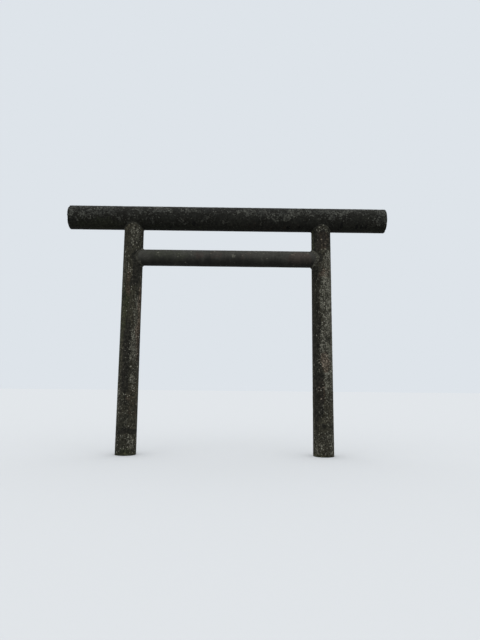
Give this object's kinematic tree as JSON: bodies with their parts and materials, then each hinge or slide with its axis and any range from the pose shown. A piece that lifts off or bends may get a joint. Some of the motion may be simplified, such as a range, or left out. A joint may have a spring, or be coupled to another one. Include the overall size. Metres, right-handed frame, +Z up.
{
  "type": "torii gate",
  "caption": "Free-standing torii gate of round concrete members: two leaning posts, a straight top beam on saddle-cut heads and a tie beam butted between the posts.",
  "frame": {"origin": "on the ground, midway between the centres of the two post feet", "axes": "+X along the beams, to the right for the viewer; +Y through the gateway, away from the viewer; +Z up"},
  "size_m": [7.09, 0.5348, 5.4775],
  "materials": {
    "post_concrete": "weathered cast concrete with crusts of pale grey-green lichen, dark runs and a mossy foot",
    "top_beam_concrete": "weathered cast concrete, lichen crust above and a smooth dark underside",
    "tie_beam_concrete": "smooth weathered cast concrete with pinkish-brown stains",
    "joint_mortar": "hand-pointed cement mortar, paler than the members"
  },
  "bodies": {
    "root": {"left_post": "post_concrete", "right_post": "post_concrete", "top_beam": "top_beam_concrete", "tie_beam": "tie_beam_concrete", "left_post_head_mortar": "joint_mortar", "right_post_head_mortar": "joint_mortar", "tie_beam_left_mortar": "joint_mortar", "tie_beam_right_mortar": "joint_mortar"}
  },
  "joints": []
}
